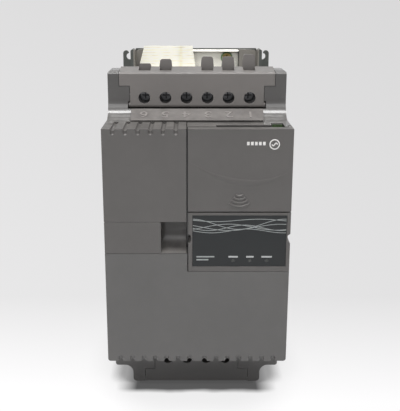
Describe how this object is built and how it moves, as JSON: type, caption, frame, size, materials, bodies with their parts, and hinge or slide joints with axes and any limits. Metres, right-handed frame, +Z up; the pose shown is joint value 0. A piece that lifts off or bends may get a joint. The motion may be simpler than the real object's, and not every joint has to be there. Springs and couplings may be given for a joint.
{
  "type": "variable frequency drive",
  "caption": "Wall-mounted variable frequency drive with hinged terminal covers, plug-on display cover, heat sink and cooling fans.",
  "frame": {"origin": "centre of the four mounting holes, on the wall plane", "axes": "+X across the case, +Y into the wall, +Z up towards the motor terminals, as the drive stands on its mains end; on a wall it is turned half a turn about Y so that the motor terminals point down"},
  "size_m": [0.13, 0.1697, 0.2626],
  "materials": {
    "case_plastic": "fine sand-textured moulded plastic, warm dark grey",
    "cover_plastic": "fine sand-textured moulded plastic, warm dark grey",
    "strip_plastic": "smooth light grey moulded plastic",
    "dark_plastic": "dark grey moulded plastic",
    "frame_plastic": "dark grey-green glass-filled plastic",
    "panel_film": "dark printed polyester film",
    "clear_plastic": "clear light guide",
    "circuit_board": "green solder mask",
    "terminal_grey": "grey terminal plastic",
    "terminal_green": "green terminal plastic",
    "switch_red": "red switch body",
    "switch_white": "white slider",
    "insulator": "milky insulating sheet",
    "ribbon_grey": "grey ribbon",
    "package_black": "black moulding compound",
    "capacitor_sleeve": "dark shrink sleeve",
    "winding_copper": "enamelled copper wire",
    "relay_blue": "blue relay case",
    "winding_tape": "ferrite core with yellow tape",
    "steel": "zinc plated steel",
    "plate_steel": "bright zinc plated sheet",
    "brass": "bare brass",
    "sink_aluminium": "extruded aluminium",
    "fan_black": "black fan plastic",
    "marker_green": "green earth washer",
    "paper": "blank cream paper with faint ruled lines"
  },
  "bodies": {
    "case": {"case_body": "case_plastic", "left_front_cover": "cover_plastic", "grip_insert": "cover_plastic", "motor_marking_strip": "strip_plastic", "mains_marking_strip": "strip_plastic", "motor_terminal_block": "dark_plastic", "motor_terminal_clamps": "steel", "motor_terminal_screws": "steel", "mains_terminal_block": "dark_plastic", "mains_terminal_clamps": "steel", "mains_terminal_screws": "steel", "control_board": "circuit_board", "control_terminal_block": "terminal_grey", "relay_terminal_block": "terminal_green", "control_terminal_screws": "steel", "network_port": "dark_plastic", "selector_switch": "switch_red", "control_board_standoffs": "brass", "control_board_screws": "steel", "insulation_barrier": "insulator", "ribbon_cable": "ribbon_grey", "power_board": "circuit_board", "power_board_standoffs": "brass", "power_module": "package_black", "rectifier_module": "package_black", "dc_capacitors": "capacitor_sleeve", "filter_choke": "winding_copper", "charge_relay": "relay_blue", "supply_transformer": "winding_tape", "current_sensors": "dark_plastic", "heat_sink": "sink_aluminium", "fan_frames": "fan_black", "mounting_frame": "frame_plastic", "airflow_plate": "plate_steel", "earth_screw": "brass", "earth_marker": "marker_green", "paper_slip": "paper", "case_screws": "steel", "frame_screws": "steel"},
    "left_latch": {"display_latch_left": "cover_plastic"},
    "right_latch": {"display_latch_right": "cover_plastic"},
    "display": {"display_cover": "cover_plastic", "display_panel": "panel_film", "display_board": "circuit_board", "status_lights": "clear_plastic"},
    "control_lid": {"control_cover": "cover_plastic"},
    "motor_lid": {"motor_terminal_cover": "case_plastic"},
    "mains_lid": {"mains_terminal_cover": "case_plastic"},
    "fan_lid": {"fan_cover": "dark_plastic"},
    "rotor_left": {"fan_rotor_left": "fan_black"},
    "rotor_right": {"fan_rotor_right": "fan_black"},
    "slider_1": {"selector_slider_1": "switch_white"},
    "slider_2": {"selector_slider_2": "switch_white"}
  },
  "joints": [
    {"name": "control_lid_hinge", "type": "hinge", "parent": "case", "child": "control_lid", "pos_m": [0.029, -0.164, 0.0832], "axis": [-1, 0, 0], "range_deg": [0, 65]},
    {"name": "display_slide", "type": "slide", "parent": "case", "child": "display", "axis": [0, -1, 0], "range_m": [0, 0.025]},
    {"name": "left_latch_press", "type": "slide", "parent": "display", "child": "left_latch", "axis": [1, 0, 0], "range_m": [0, 0.0012]},
    {"name": "right_latch_press", "type": "slide", "parent": "display", "child": "right_latch", "axis": [-1, 0, 0], "range_m": [0, 0.0012]},
    {"name": "motor_lid_hinge", "type": "hinge", "parent": "case", "child": "motor_lid", "pos_m": [0, -0.1168, 0.0969], "axis": [1, 0, 0], "range_deg": [0, 90]},
    {"name": "mains_lid_hinge", "type": "hinge", "parent": "case", "child": "mains_lid", "pos_m": [0, -0.1168, -0.0992], "axis": [-1, 0, 0], "range_deg": [0, 90]},
    {"name": "fan_lid_slide", "type": "slide", "parent": "case", "child": "fan_lid", "axis": [0, 0, -1], "range_m": [0, 0.02]},
    {"name": "fan_left_spin", "type": "hinge", "parent": "case", "child": "rotor_left", "pos_m": [-0.026, -0.033, -0.12], "axis": [0, 0, 1], "continuous": true},
    {"name": "fan_right_spin", "type": "hinge", "parent": "case", "child": "rotor_right", "pos_m": [0.026, -0.033, -0.12], "axis": [0, 0, 1], "continuous": true},
    {"name": "selector_1_slide", "type": "slide", "parent": "case", "child": "slider_1", "axis": [0, 0, 1], "range_m": [0, 0.0026]},
    {"name": "selector_2_slide", "type": "slide", "parent": "case", "child": "slider_2", "axis": [0, 0, 1], "range_m": [0, 0.0026]}
  ]
}
